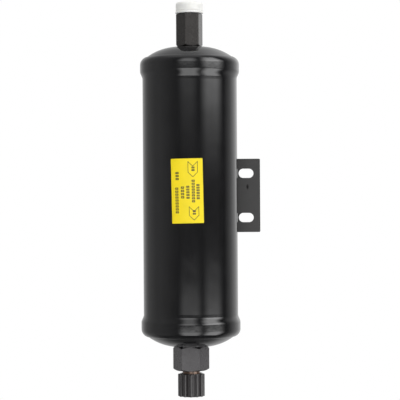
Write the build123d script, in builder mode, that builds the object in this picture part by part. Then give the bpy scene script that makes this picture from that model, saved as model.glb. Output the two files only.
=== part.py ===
"""In-line filter drier with a bead desiccant bed, a side mounting bracket and two shipping closures.

Millimetres. +Z is up, towards the inlet. The origin lies on the back face of the bracket, in line with
the shell's axis and midway between the two slots, so the shell stands in front of it at negative Y.
"""

import os
from math import atan, cos, degrees, radians, sin, sqrt, tan

from build123d import *

os.makedirs("parts", exist_ok=True)

# Shell: a drawn tube, belled at both ends by one wall thickness and rolled in over the end caps
shell_diameter = 76.2
shell_wall = 1.9
shell_length = 224.6  # over the two rolled lips
shell_mid_z = -1.0  # the bracket is welded on this much above the shell's middle
rim_band = 17.5  # from the lip to where the belling starts
swage_length = 6.5  # the taper of the belling
lip_roll = 6.5  # outer radius of the rolled lip
lip_angle = 24.5  # degrees from the axis at which the lip is cut off
seat_gap = 0.1  # between pieces that seat on one another's curved faces

# End caps: drawn domes with a joggled shoulder that takes the rolled lip
cap_wall = 2.0
dome_rise = 8.2  # from the lip to the flat land
dome_radius = 40.0
land_radius = 15.0
crease_depth = 0.7  # how far the dome starts below the lip's outer face

# Bracket: one strap, flat where it is bolted and rolled to the shell where it is welded
bracket_thickness = 2.5
bracket_height = 61.0
bracket_reach = 57.9  # from the shell's axis to the free edge
bracket_corner = 1.0
saddle_angle = 62.0  # degrees of shell that the welded saddle covers
slot_length = 12.4
slot_width = 7.7
slot_spacing = 36.8
slot_x = 46.3

# Label
label_width = 27.0
label_height = 50.9
label_corner = 0.6
label_thickness = 0.25
label_gap = 0.05  # the adhesive under the film
label_z = 3.6
label_turn = -4.4  # degrees round the shell from the front
label_tilt = 1.0  # degrees anticlockwise

# The 5/8-18 UNF thread of both ports
thread_diameter = 15.875
tap_diameter = 14.6
passage_diameter = 9.5

# Inlet fitting, a hexagon with a tapped port
inlet_flats = 19.05
inlet_hex_length = 26.7
inlet_hex_turn = 13.0  # degrees anticlockwise, seen from the end
inlet_neck_diameter = 17.0
inlet_neck_length = 0.9
inlet_spigot_diameter = 15.0
inlet_port_depth = 17.0
port_chamfer = 0.8

# Outlet fitting, a hexagon with a male flare nose
outlet_flats = 25.4
outlet_hex_length = 19.5
outlet_hex_turn = 3.0
outlet_spigot_diameter = 18.0
relief_diameter = 14.0
relief_length = 3.3
thread_length = 10.5
nose_length = 3.5
nose_tip_diameter = 11.0
thread_lead = 0.6  # length of the tapers at the thread's two ends

spigot_stand = 1.5  # how far both spigots stand proud inside the end caps
hex_chamfer_angle = 30.0
hex_face_share = 0.95  # diameter of a hexagon's round end face, as a share of its width across flats

# Inlet plug, moulded in polyethylene
plug_diameter = 21.7
plug_height = 9.0
plug_edge = 2.2
plug_flange_diameter = 22.5
plug_flange_height = 1.8
plug_groove = 0.5
plug_shank_length = 11.0
plug_lead = 0.8  # chamfer at the shank's tip
plug_wall = 1.3
plug_crown = 3.0  # thickness of the head's top
plug_fit = 0.1  # radial clearance of the shank in the port

# Outlet cap, a ribbed screw cap with a sealing disc
screw_cap_length = 18.6
screw_cap_core = 18.8
screw_cap_floor = 2.2
rib_count = 12
rib_radius = 1.3
rib_turn = 1.5
rib_setback = 0.4  # the ribs start this far below the mouth
rib_circle = 9.45
screw_cap_chamfer = 0.6
thread_fit = 0.08  # radial clearance of the cap on the thread
seal_thickness = 1.5

# Filling
bore_fit = 0.3  # radial clearance of the filling in the shell
plate_thickness = 1.2
hole_width = 5.0  # across the corners of the hexagonal holes
hole_pitch = 9.5
hole_rings = 3
screen_thickness = 0.5
lower_pad_thickness = 8.0
bed_length = 168.0
upper_pad_thickness = 6.0

# Spring: conical, small coil on the inlet land and large coil on the upper plate
wire_diameter = 2.4
spring_top_radius = 11.0
spring_foot_radius = 28.0
spring_turns = 2.5

# Strainer: a gauze thimble over the outlet spigot
strainer_wall = 0.5
strainer_radius = 11.0
strainer_height = 12.0
strainer_flange_radius = 13.8

# Worked-out sizes
shell_radius = shell_diameter / 2
bore_radius = shell_radius - shell_wall
bell_radius = shell_radius + shell_wall
bell_bore = shell_radius
half_length = shell_length / 2
axis_y = -(shell_radius + seat_gap + bracket_thickness)
shell_axis = Axis((0, axis_y, 0), (0, 0, 1))
roll_r = bell_radius - lip_roll
roll_y = -lip_roll * cos(radians(lip_angle))
skirt_y = swage_length - rim_band
skirt_radius = bell_bore - seat_gap
shoulder_roll = lip_roll - shell_wall - seat_gap
filling_radius = bore_radius - bore_fit
inner_land = dome_rise - cap_wall
spigot_end = inner_land - spigot_stand
inlet_hex_start = dome_rise + inlet_neck_length
inlet_hex_end = inlet_hex_start + inlet_hex_length
port_floor = inlet_hex_end - inlet_port_depth
outlet_hex_end = dome_rise + outlet_hex_length
thread_base = outlet_hex_end + relief_length
thread_end = thread_base + thread_length
nose_end = thread_end + nose_length
cap_end = nose_end + seal_thickness + screw_cap_floor
cap_mouth = cap_end - screw_cap_length
cap_bore = thread_diameter / 2 + thread_fit
lower_screen_y = skirt_y - plate_thickness
lower_pad_y = lower_screen_y - screen_thickness
bed_y = lower_pad_y - lower_pad_thickness
upper_pad_y = bed_y - bed_length
upper_screen_y = upper_pad_y - upper_pad_thickness
upper_plate_y = upper_screen_y - screen_thickness
spring_foot_y = upper_plate_y - plate_thickness
spring_foot_z = shell_mid_z - half_length - spring_foot_y
spring_length = shell_length + inner_land + spring_foot_y


def end_plane(side, height=0.0):
    """The plane of a section through the axis, with X outwards from the axis and Y outwards from the shell,
    and its origin a height above the lip. side is 1 at the inlet and -1 at the outlet."""
    origin_z = shell_mid_z + side * (half_length + height)
    return Plane(origin=(0, axis_y, origin_z), x_dir=(1, 0, 0), z_dir=(0, -side, 0))


def level_plane(side, height):
    """The level plane across the axis at a height above the lip, facing outwards from the shell."""
    return Plane(origin=end_plane(side, height).origin, x_dir=(1, 0, 0), z_dir=(0, 0, side))


def roll_point(radius, back=0.0):
    """The point of the lip's cut at a radius about the centre of its roll, moved back from the cut."""
    turn = radians(lip_angle)
    return (
        roll_r + radius * sin(turn) - back * cos(turn),
        roll_y + radius * cos(turn) + back * sin(turn),
    )


def arc_centre(start, end, radius):
    """The centre of the arc that bulges outwards between two points of a section."""
    chord = (end[0] - start[0], end[1] - start[1])
    length = sqrt(chord[0] ** 2 + chord[1] ** 2)
    depth = sqrt(radius**2 - (length / 2) ** 2)
    return (
        (start[0] + end[0]) / 2 + chord[1] / length * depth,
        (start[1] + end[1]) / 2 - chord[0] / length * depth,
    )


def arc_crest(start, end, radius):
    """The middle point of that arc."""
    centre = arc_centre(start, end, radius)
    middle = ((start[0] + end[0]) / 2 - centre[0], (start[1] + end[1]) / 2 - centre[1])
    reach = radius / sqrt(middle[0] ** 2 + middle[1] ** 2)
    return (centre[0] + middle[0] * reach, centre[1] + middle[1] * reach)


def hexagonal_bar(side, start, flats, length, turn):
    """Adds a hexagonal bar across the axis from a height above the lip, with both ends turned to a chamfer."""
    corner = flats / sqrt(3)
    face = hex_face_share * flats / 2
    drop = (corner - face) * tan(radians(hex_chamfer_angle))
    with BuildSketch(level_plane(side, start)) as hexagon:
        RegularPolygon(flats / 2, 6, major_radius=False, rotation=turn)
    extrude(hexagon.sketch, amount=length)
    turned(
        side,
        [
            (0, start),
            (face, start),
            (corner, start + drop),
            (corner, start + length - drop),
            (face, start + length),
            (0, start + length),
        ],
        mode=Mode.INTERSECT,
    )


def turned(side, points, mode=Mode.ADD):
    """Adds or cuts the solid turned from a section of radii and heights above the lip."""
    with BuildSketch(end_plane(side)) as section:
        with BuildLine():
            Polyline(*points, close=True)
        make_face()
    revolve(section.sketch, axis=shell_axis, mode=mode)


def end_cap_section(hole_radius):
    """Draws an end cap's section: flat land, dome, joggle under the lip, bevelled shoulder and skirt."""
    inner_roll = shoulder_roll - cap_wall
    inner_dome = dome_radius - cap_wall
    skirt_bore = skirt_radius - cap_wall
    land_edge = (land_radius, dome_rise)
    under_edge = (land_radius, inner_land)
    foot = roll_point(lip_roll - crease_depth, seat_gap)
    joggle = roll_point(shoulder_roll, seat_gap)
    dome_centre = arc_centre(land_edge, foot, dome_radius)
    under_foot = (roll_r, dome_centre[1] + sqrt(inner_dome**2 - (roll_r - dome_centre[0]) ** 2))
    with BuildLine() as outline:
        Line((hole_radius, dome_rise), land_edge)
        ThreePointArc(land_edge, arc_crest(land_edge, foot, dome_radius), foot)
        Polyline(
            foot,
            joggle,
            (skirt_radius, roll_y),
            (skirt_radius, skirt_y),
            (skirt_bore, skirt_y),
            (skirt_bore, roll_y),
            (roll_r, roll_y + inner_roll),
            under_foot,
            arc_crest(under_edge, under_foot, inner_dome),
            under_edge,
            (hole_radius, inner_land),
            (hole_radius, dome_rise),
        )
    make_face(outline.edges())


# Shell tube
with BuildPart() as shell_tube:
    with BuildSketch(Plane(origin=(0, axis_y, shell_mid_z), x_dir=(1, 0, 0), z_dir=(0, -1, 0))):
        bell_start = half_length - rim_band
        bell_end = half_length + skirt_y
        roll_level = half_length + roll_y
        cut_inside = roll_point(lip_roll - shell_wall)
        with BuildLine():
            lip_outside = CenterArc((roll_r, roll_level), lip_roll, 0, 90 - lip_angle)
            Polyline(
                lip_outside @ 1,
                (cut_inside[0], half_length + cut_inside[1]),
                (bell_bore, roll_level),
                (bell_bore, bell_end),
                (bore_radius, bell_start),
                (bore_radius, 0),
                (shell_radius, 0),
                (shell_radius, bell_start),
                (bell_radius, bell_end),
                lip_outside @ 0,
            )
        make_face()
        mirror(about=Plane.XZ)
    revolve(axis=shell_axis)
shell_tube.part.label = "shell_tube"
export_step(shell_tube.part, "parts/shell_tube.step")

# End caps
with BuildPart() as inlet_end_cap:
    with BuildSketch(end_plane(1)):
        end_cap_section(inlet_spigot_diameter / 2 + seat_gap)
    revolve(axis=shell_axis)
inlet_end_cap.part.label = "inlet_end_cap"
export_step(inlet_end_cap.part, "parts/inlet_end_cap.step")

with BuildPart() as outlet_end_cap:
    with BuildSketch(end_plane(-1)):
        end_cap_section(outlet_spigot_diameter / 2 + seat_gap)
    revolve(axis=shell_axis)
outlet_end_cap.part.label = "outlet_end_cap"
export_step(outlet_end_cap.part, "parts/outlet_end_cap.step")

# Inlet fitting: hexagon on a short neck, spigot brazed in the end cap, tapped port with a flare seat
with BuildPart() as inlet_fitting:
    hexagonal_bar(1, inlet_hex_start, inlet_flats, inlet_hex_length, inlet_hex_turn)
    with BuildSketch(level_plane(1, dome_rise)):
        Circle(inlet_neck_diameter / 2)
    extrude(amount=inlet_neck_length)
    with BuildSketch(level_plane(1, spigot_end)):
        Circle(inlet_spigot_diameter / 2)
    extrude(amount=dome_rise - spigot_end)
    turned(
        1,
        [
            (0, spigot_end),
            (passage_diameter / 2, spigot_end),
            (passage_diameter / 2, port_floor - (tap_diameter - passage_diameter) / 2),
            (tap_diameter / 2, port_floor),
            (tap_diameter / 2, inlet_hex_end - port_chamfer),
            (tap_diameter / 2 + port_chamfer, inlet_hex_end),
            (0, inlet_hex_end),
        ],
        mode=Mode.SUBTRACT,
    )
inlet_fitting.part.label = "inlet_fitting"
export_step(inlet_fitting.part, "parts/inlet_fitting.step")

# Outlet fitting: hexagon seated on the end cap's land, relief groove, thread and flare nose
with BuildPart() as outlet_fitting:
    hexagonal_bar(-1, dome_rise, outlet_flats, outlet_hex_length, outlet_hex_turn)
    with BuildSketch(level_plane(-1, spigot_end)):
        Circle(outlet_spigot_diameter / 2)
    extrude(amount=dome_rise - spigot_end)
    turned(
        -1,
        [
            (0, outlet_hex_end),
            (relief_diameter / 2, outlet_hex_end),
            (relief_diameter / 2, thread_base - thread_lead),
            (thread_diameter / 2, thread_base),
            (thread_diameter / 2, thread_end - thread_lead),
            (relief_diameter / 2, thread_end),
            (relief_diameter / 2, nose_end - (relief_diameter - nose_tip_diameter) / 2),
            (nose_tip_diameter / 2, nose_end),
            (0, nose_end),
        ],
    )
    with BuildSketch(level_plane(-1, spigot_end)):
        Circle(passage_diameter / 2)
    extrude(amount=nose_end - spigot_end, mode=Mode.SUBTRACT)
outlet_fitting.part.label = "outlet_fitting"
export_step(outlet_fitting.part, "parts/outlet_fitting.step")

# Mounting bracket: flat flange with two slots, and a saddle rolled round the back of the shell
with BuildPart() as mounting_bracket:
    with BuildSketch(Plane.XY.offset(-bracket_height / 2)):
        with BuildLine():
            saddle_outside = CenterArc((0, axis_y), -axis_y, 90, saddle_angle)
            saddle_inside = CenterArc((0, axis_y), -axis_y - bracket_thickness, 90, saddle_angle)
            Line(saddle_outside @ 1, saddle_inside @ 1)
            Polyline(
                saddle_outside @ 0,
                (bracket_reach, 0),
                (bracket_reach, -bracket_thickness),
                saddle_inside @ 0,
            )
        make_face()
    extrude(amount=bracket_height)
    free_corners = mounting_bracket.edges().filter_by(Axis.Y).group_by(Axis.X)[-1]
    fillet(free_corners, bracket_corner)
    with BuildSketch(Plane.XZ):
        with Locations((slot_x, slot_spacing / 2), (slot_x, -slot_spacing / 2)):
            SlotOverall(slot_length, slot_width)
    extrude(amount=bracket_thickness, mode=Mode.SUBTRACT)
mounting_bracket.part.label = "mounting_bracket"
export_step(mounting_bracket.part, "parts/mounting_bracket.step")

# Label: a tilted rectangle of film wrapped on the shell
with BuildPart() as label:
    turn = radians(label_turn)
    face_out = Plane(
        origin=(0, axis_y, label_z), x_dir=(cos(turn), sin(turn), 0), z_dir=(sin(turn), -cos(turn), 0)
    )
    with BuildSketch(face_out):
        chord = 2 * shell_radius * sin(label_width / 2 / shell_radius)
        RectangleRounded(chord, label_height, label_corner, rotation=label_tilt)
    extrude(amount=bell_radius)
    with BuildSketch(Plane(origin=(0, axis_y, label_z - label_height))):
        Circle(shell_radius + label_gap + label_thickness)
        Circle(shell_radius + label_gap, mode=Mode.SUBTRACT)
    extrude(amount=2 * label_height, mode=Mode.INTERSECT)
label.part.label = "label"
export_step(label.part, "parts/label.step")

# Inlet plug: domed head with a lifting groove over its flange, and a hollow shank
with BuildPart() as inlet_plug:
    shank_radius = tap_diameter / 2 - plug_fit
    shank_end = inlet_hex_end - plug_shank_length
    head_end = inlet_hex_end + plug_height
    flange_end = inlet_hex_end + plug_flange_height
    turned(
        1,
        [
            (0, shank_end),
            (shank_radius - plug_lead, shank_end),
            (shank_radius, shank_end + plug_lead),
            (shank_radius, inlet_hex_end),
            (plug_flange_diameter / 2, inlet_hex_end),
            (plug_flange_diameter / 2, flange_end),
            (plug_diameter / 2 - plug_groove, flange_end),
            (plug_diameter / 2, flange_end + plug_groove),
            (plug_diameter / 2, head_end),
            (0, head_end),
        ],
    )
    crown = inlet_plug.faces().sort_by(Axis.Z)[-1].outer_wire().edges()
    fillet(crown, plug_edge)
    with BuildSketch(level_plane(1, shank_end)):
        Circle(shank_radius - plug_wall)
    extrude(amount=plug_shank_length + plug_height - plug_crown, mode=Mode.SUBTRACT)
inlet_plug.part.label = "inlet_plug"
export_step(inlet_plug.part, "parts/inlet_plug.step")

# Outlet cap: a turned cup with ribs run down its outside
with BuildPart() as outlet_cap:
    core = screw_cap_core / 2
    turned(
        -1,
        [
            (0, cap_mouth),
            (core, cap_mouth),
            (core, cap_end - screw_cap_chamfer),
            (core - screw_cap_chamfer, cap_end),
            (0, cap_end),
        ],
    )
    with BuildSketch(level_plane(-1, cap_mouth + rib_setback)):
        with PolarLocations(rib_circle, rib_count, start_angle=rib_turn):
            Circle(rib_radius)
    extrude(amount=screw_cap_length - rib_setback)
    turned(
        -1,
        [
            (0, cap_mouth),
            (cap_bore + screw_cap_chamfer, cap_mouth),
            (cap_bore, cap_mouth + screw_cap_chamfer),
            (cap_bore, cap_end - screw_cap_floor),
            (0, cap_end - screw_cap_floor),
        ],
        mode=Mode.SUBTRACT,
    )
outlet_cap.part.label = "outlet_cap"
export_step(outlet_cap.part, "parts/outlet_cap.step")

# Sealing disc of the outlet cap, held against the flare nose
with BuildPart() as outlet_cap_seal:
    with BuildSketch(level_plane(-1, nose_end)):
        Circle(cap_bore - seat_gap)
    extrude(amount=seal_thickness)
outlet_cap_seal.part.label = "outlet_cap_seal"
export_step(outlet_cap_seal.part, "parts/outlet_cap_seal.step")

# Outlet strainer: a gauze thimble with a flange, standing on the land inside the end cap
with BuildPart() as outlet_strainer:
    strainer_bore = strainer_radius - strainer_wall
    strainer_top = inner_land - strainer_height
    turned(
        -1,
        [
            (strainer_bore, inner_land),
            (strainer_flange_radius, inner_land),
            (strainer_flange_radius, inner_land - strainer_wall),
            (strainer_radius, inner_land - strainer_wall),
            (strainer_radius, strainer_top),
            (0, strainer_top),
            (0, strainer_top + strainer_wall),
            (strainer_bore, strainer_top + strainer_wall),
        ],
    )
outlet_strainer.part.label = "outlet_strainer"
export_step(outlet_strainer.part, "parts/outlet_strainer.step")


def disc(height, radius, thickness):
    """Adds a round disc inside the shell, from a height above the outlet lip towards the inlet."""
    with BuildSketch(level_plane(-1, height)) as outline:
        Circle(radius)
    extrude(outline.sketch, amount=-thickness)


def perforate(height, thickness):
    """Cuts rings of hexagonal holes through a disc that starts at a height above the outlet lip."""
    with BuildSketch(level_plane(-1, height)) as holes:
        RegularPolygon(hole_width / 2, 6)
        for ring in range(1, hole_rings + 1):
            with PolarLocations(ring * hole_pitch, 6 * ring):
                RegularPolygon(hole_width / 2, 6)
    extrude(holes.sketch, amount=-thickness, mode=Mode.SUBTRACT)


# Lower perforated plate, trapped between the outlet end cap's skirt and the shell's taper
with BuildPart() as lower_perforated_plate:
    taper_bore = bell_bore - plate_thickness * shell_wall / swage_length
    disc(skirt_y, taper_bore - seat_gap, plate_thickness)
    perforate(skirt_y, plate_thickness)
lower_perforated_plate.part.label = "lower_perforated_plate"
export_step(lower_perforated_plate.part, "parts/lower_perforated_plate.step")

# Filling, from the outlet to the inlet
with BuildPart() as lower_screen:
    disc(lower_screen_y, filling_radius, screen_thickness)
lower_screen.part.label = "lower_screen"
export_step(lower_screen.part, "parts/lower_screen.step")

with BuildPart() as lower_filter_pad:
    disc(lower_pad_y, filling_radius, lower_pad_thickness)
lower_filter_pad.part.label = "lower_filter_pad"
export_step(lower_filter_pad.part, "parts/lower_filter_pad.step")

with BuildPart() as desiccant_bed:
    disc(bed_y, filling_radius, bed_length)
desiccant_bed.part.label = "desiccant_bed"
export_step(desiccant_bed.part, "parts/desiccant_bed.step")

with BuildPart() as upper_filter_pad:
    disc(upper_pad_y, filling_radius, upper_pad_thickness)
upper_filter_pad.part.label = "upper_filter_pad"
export_step(upper_filter_pad.part, "parts/upper_filter_pad.step")

with BuildPart() as upper_screen:
    disc(upper_screen_y, filling_radius, screen_thickness)
upper_screen.part.label = "upper_screen"
export_step(upper_screen.part, "parts/upper_screen.step")

with BuildPart() as upper_perforated_plate:
    disc(upper_plate_y, filling_radius, plate_thickness)
    perforate(upper_plate_y, plate_thickness)
upper_perforated_plate.part.label = "upper_perforated_plate"
export_step(upper_perforated_plate.part, "parts/upper_perforated_plate.step")

# Bed spring, a conical coil of six-sided wire that presses the filling down
with BuildPart() as bed_spring:
    coil_height = spring_length - wire_diameter
    coil_cone = degrees(atan((spring_top_radius - spring_foot_radius) / coil_height))
    with BuildLine():
        coil = Helix(
            pitch=coil_height / spring_turns,
            height=coil_height,
            radius=spring_foot_radius,
            center=(0, axis_y, spring_foot_z + wire_diameter / 2),
            cone_angle=coil_cone,
        )
    with BuildSketch(Plane(origin=coil @ 0, z_dir=coil % 0)):
        RegularPolygon(wire_diameter / 2, 6)
    sweep(is_frenet=True)
bed_spring.part.label = "bed_spring"
export_step(bed_spring.part, "parts/bed_spring.step")
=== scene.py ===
"""Looks of an in-line filter drier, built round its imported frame.

Metres. +Z is up, towards the inlet. The shell stands in front of its bracket, on the -Y side.
"""

from math import atan2, cos, hypot, pi, radians, sin, sqrt, tan

import bmesh
import bpy
from bpy.props import FloatProperty, FloatVectorProperty, IntProperty, PointerProperty
from mathutils import Matrix, Vector


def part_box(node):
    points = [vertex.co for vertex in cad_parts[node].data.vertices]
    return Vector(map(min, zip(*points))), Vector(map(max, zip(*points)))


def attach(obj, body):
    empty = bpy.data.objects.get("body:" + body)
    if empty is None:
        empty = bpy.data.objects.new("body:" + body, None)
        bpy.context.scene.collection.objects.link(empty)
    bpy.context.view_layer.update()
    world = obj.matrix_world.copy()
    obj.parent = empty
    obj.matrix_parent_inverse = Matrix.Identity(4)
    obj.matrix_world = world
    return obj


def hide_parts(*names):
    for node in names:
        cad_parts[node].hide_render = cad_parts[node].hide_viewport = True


bl_info = {
    "name": "Filter Drier",
    "version": (1, 0, 0),
    "blender": (4, 5, 0),
    "location": "View3D > Sidebar > Drier",
    "description": "Dresses a packed filter drier with its painted, moulded and printed surfaces",
    "category": "Object",
}

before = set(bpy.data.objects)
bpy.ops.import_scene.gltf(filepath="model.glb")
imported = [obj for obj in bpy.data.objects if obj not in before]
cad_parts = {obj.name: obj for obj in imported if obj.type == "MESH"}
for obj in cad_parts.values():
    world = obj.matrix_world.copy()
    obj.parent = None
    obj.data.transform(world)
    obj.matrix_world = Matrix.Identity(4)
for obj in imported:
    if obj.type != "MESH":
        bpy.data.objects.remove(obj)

# Places read from the frame
SHELL_LOW, SHELL_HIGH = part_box("shell_tube")
CENTRE_X = (SHELL_LOW.x + SHELL_HIGH.x) / 2
CENTRE_Y = (SHELL_LOW.y + SHELL_HIGH.y) / 2
RIM_RADIUS = (SHELL_HIGH.x - SHELL_LOW.x) / 2
LIP_HEIGHT = {1: SHELL_HIGH.z, -1: SHELL_LOW.z}
BRACKET_LOW, BRACKET_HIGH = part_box("mounting_bracket")
PORT_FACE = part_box("inlet_fitting")[1].z
CAP_LOW, CAP_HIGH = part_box("outlet_cap")

MERGE = 1e-6  # vertices nearer than this are one


def mm(text, default):
    """A size that a user may set, held in metres, with its default in millimetres."""
    return FloatProperty(description=text, default=default / 1000, min=0.0, unit="LENGTH", precision=5)


def degrees(text, default):
    """An angle that a user may set, with its default in degrees."""
    return FloatProperty(description=text, default=radians(default), unit="ROTATION")


def share(text, default):
    """A plain number from 0 to 1 that a user may set."""
    return FloatProperty(description=text, default=default, min=0.0, max=1.0, subtype="FACTOR")


def linear(hex_code):
    """The linear colour of an sRGB hex code."""
    values = [int(hex_code[start:start + 2], 16) / 255 for start in (1, 3, 5)]
    return tuple(v / 12.92 if v <= 0.04045 else ((v + 0.055) / 1.055) ** 2.4 for v in values)


def tint(text, hex_code):
    """A colour that a user may set."""
    return FloatVectorProperty(
        description=text, default=linear(hex_code), min=0.0, max=1.0, size=3, subtype="COLOR"
    )


class DrierSizes(bpy.types.PropertyGroup):
    """Sizes of the body, the fittings and what is fixed to them."""

    steps: IntProperty(description="Facets round a turned piece", default=240, min=24)
    shell_wall: mm("Thickness of the drawn tube", 1.9)
    rim_band: mm("From the lip to where the tube starts to widen", 17.5)
    swage: mm("Length of the S-shaped step up to the rim", 6.5)
    lip_roll: mm("Outer radius of the rolled lip", 6.5)
    lip_angle: degrees("Angle from the axis at which the lip is cut", 24.5)
    seat_gap: mm("Gap between seated pieces", 0.1)
    edge_round: mm("Radius of the broken edges", 0.2)
    cap_wall: mm("Thickness of the end caps", 2.0)
    dome_rise: mm("From the lip to the flat land", 8.2)
    dome_radius: mm("Radius of the dome's curve", 40.0)
    land_radius: mm("Radius of the flat land", 15.0)
    land_round: mm("Size of the curve between land and dome", 1.2)
    crease_depth: mm("How far the dome starts below the lip", 0.7)
    inlet_flats: mm("Width across flats of the inlet hexagon", 19.05)
    inlet_hex_length: mm("Length of the inlet hexagon", 26.7)
    inlet_turn: degrees("Turn of the inlet hexagon", 13.0)
    inlet_neck: mm("Diameter of the neck under the inlet hexagon", 17.0)
    inlet_neck_length: mm("Length of the neck under the hexagon", 0.9)
    inlet_spigot: mm("Diameter of the inlet's spigot", 15.0)
    outlet_flats: mm("Width across flats of the outlet hexagon", 25.4)
    outlet_hex_length: mm("Length of the outlet hexagon", 19.5)
    outlet_turn: degrees("Turn of the outlet hexagon", 3.0)
    outlet_spigot: mm("Diameter of the outlet's spigot", 18.0)
    hex_chamfer: degrees("Angle of the turned ends of a hexagon", 30.0)
    hex_face: share("Round end face, as a share of the width across flats", 0.95)
    braze_leg: mm("Width of the braze fillet on the end cap", 1.2)
    braze_rise: share("Height of the braze, as a share of the neck's length", 0.8)
    thread_diameter: mm("Outer diameter of the flare thread", 15.875)
    thread_pitch: mm("Pitch of the flare thread, 18 to the inch", 25.4 / 18)
    tap_diameter: mm("Bore of the tapped port", 14.6)
    port_depth: mm("Depth of the tapped port", 17.0)
    passage: mm("Bore of both fittings", 9.5)
    relief_diameter: mm("Diameter of the thread's relief groove", 14.0)
    relief_length: mm("Length of the relief groove", 3.3)
    thread_length: mm("Length of the outlet thread", 10.5)
    nose_length: mm("Length of the flare nose", 3.5)
    nose_tip: mm("Diameter of the nose's tip", 11.0)
    spigot_stand: mm("How far the spigots stand proud inside", 1.5)


class BracketSizes(bpy.types.PropertyGroup):
    """Sizes of the mounting bracket and the label."""

    thickness: mm("Thickness of the bracket's strap", 2.5)
    saddle_angle: degrees("Angle of shell that the saddle covers", 62.0)
    slot_length: mm("Length of a mounting slot", 12.4)
    slot_width: mm("Width of a mounting slot", 7.7)
    slot_spacing: mm("Between the middles of the two slots", 36.8)
    slot_reach: mm("From the axis to the middle of the slots", 46.3)
    corner: mm("Radius of the two free corners", 1.0)
    edge_round: mm("Radius of the broken edges", 0.25)
    label_width: mm("Width of the label along its curve", 25.4)
    label_height: mm("Height of the label", 50.9)
    label_z: FloatProperty(description="Height of its middle", default=0.0036, unit="LENGTH")
    label_turn: degrees("Turn of the label round the shell", -3.2)
    label_tilt: degrees("Tilt of the label, anticlockwise", 1.0)
    label_corner: mm("Radius of the label's corners", 0.6)
    film: mm("Thickness of the label's film", 0.25)
    glue: mm("Thickness of the adhesive", 0.05)
    ink: mm("Thickness of the print", 0.02)
    stroke: mm("Width of a printed line", 0.4)
    block_stroke: mm("Width of a printed block's outline", 0.6)


class ClosureSizes(bpy.types.PropertyGroup):
    """Sizes of the plug and the screw cap."""

    plug_head: mm("Diameter of the plug's head", 21.7)
    plug_flange: mm("Diameter of the plug's flange", 22.5)
    plug_height: mm("Height of the head over the hexagon", 9.0)
    plug_edge: mm("Radius of the head's edge", 2.2)
    plug_flange_height: mm("Height of the flange", 1.8)
    plug_groove: mm("Depth of the groove over the flange", 0.5)
    plug_shank: mm("Length of the shank in the port", 11.0)
    plug_wall: mm("Wall of the hollow shank", 1.3)
    plug_crown: mm("Thickness of the head's top", 3.0)
    plug_fit: mm("Radial clearance of the shank", 0.1)
    plug_lead: mm("Chamfer of the shank's tip, and setback of the dish in the head", 0.8)
    flange_edge: mm("Radius of the flange's upper edge", 0.4)
    moulded_edge: mm("Radius of the other edges", 0.3)
    cap_core: mm("Diameter of the cap between its ribs", 18.8)
    cap_floor: mm("Thickness of the cap's end", 2.2)
    cap_fit: mm("Radial clearance of the cap on the thread", 0.08)
    cap_chamfer: mm("Chamfer of the cap's end and mouth", 0.6)
    rib_count: IntProperty(description="Ribs round the cap", default=12, min=3)
    rib_radius: mm("Radius of a rib", 1.3)
    rib_circle: mm("Radius on which the ribs stand", 9.45)
    rib_turn: degrees("Turn of the first rib", 1.5)
    rib_setback: mm("From the mouth to the ribs", 0.4)
    rib_stop: mm("How far the ribs stop short of the end face, which their union needs", 0.05)


class DrierFinish(bpy.types.PropertyGroup):
    """Colours and finishes."""

    paint: tint("Gloss black stoving paint", "#1A1A1B")
    paint_roughness: share("Roughness of the black paint", 0.08)
    bracket_paint: tint("Duller black paint of the bracket", "#1F1E1E")
    bracket_roughness: share("Roughness of the bracket's paint", 0.34)
    inlet_paint: tint("Satin black paint of the inlet hexagon", "#282523")
    # satin black paint, made lighter than the inlet's as painted light for the bright low light its faces
    # catch
    outlet_paint_lit: tint("Thinner satin black paint of the outlet hexagon", "#403E40")
    film: tint("Yellow vinyl of the label", "#F8DF14")
    ink: tint("Black printing ink", "#1C1A12")
    plug: tint("Natural white polyethylene", "#EAEAE7")
    cap: tint("Black moulded polyethylene", "#2E2B2C")
    steel: tint("Pressed steel", "#A9A6A2")
    stub: tint("Turned steel of the outlet thread, dulled", "#6A645F")
    copper_tint: tint("Copper flash on the outlet thread", "#74594A")


class DrierStudio(bpy.types.PropertyGroup):
    """Camera, floor and lamps."""

    distance: mm("From the shell's axis to the camera", 1300.0)
    focal_length: FloatProperty(description="Focal length in millimetres", default=144.8, min=10)
    camera_x: FloatProperty(description="Camera's place along X", default=0.00785, unit="LENGTH")
    camera_z: FloatProperty(description="Camera's height", default=-0.0036, unit="LENGTH")
    roll: degrees("Roll of the camera", 0.344)
    floor_z: FloatProperty(description="Height of the floor", default=-0.3, unit="LENGTH")
    floor_radius: mm("Radius of the floor", 1000.0)
    room: FloatProperty(description="Share of the room's own brightness", default=1.0, min=0)
    pit: FloatProperty(description="Share of the room's light from straight below", default=0.2, min=0)
    spill: share("Share of the softboxes' light that falls on what isn't glossy", 0.55)
    ceiling: FloatProperty(description="Brightness straight above", default=0.9, min=0)
    key_power: FloatProperty(description="Power of the key lamp", default=12.0, min=0, unit="POWER")
    key_size: mm("Diameter of the key lamp", 1300.0)
    floor: tint("Pale floor", "#F2F2F2")


# Selecting and joining


class EditMode:
    """Edit mode on the active piece."""

    def __enter__(self):
        bpy.ops.object.mode_set(mode="EDIT")

    def __exit__(self, *error):
        bpy.ops.object.mode_set(mode="OBJECT")


def pick(*pieces):
    """Selects only these pieces and makes the last one active. With none, nothing is left selected."""
    if bpy.context.object and bpy.context.object.mode != "OBJECT":
        bpy.ops.object.mode_set(mode="OBJECT")
    bpy.ops.object.select_all(action="DESELECT")
    for piece in pieces:
        piece.select_set(True)
    bpy.context.view_layer.objects.active = pieces[-1] if pieces else None


def settle():
    """Applies the active piece's place, so that its object sits at the origin."""
    bpy.ops.object.transform_apply(location=True, rotation=True, scale=True)
    return bpy.context.object


def select(action="SELECT"):
    """In edit mode, selects or deselects the whole mesh."""
    bpy.ops.mesh.select_all(action=action)


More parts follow.
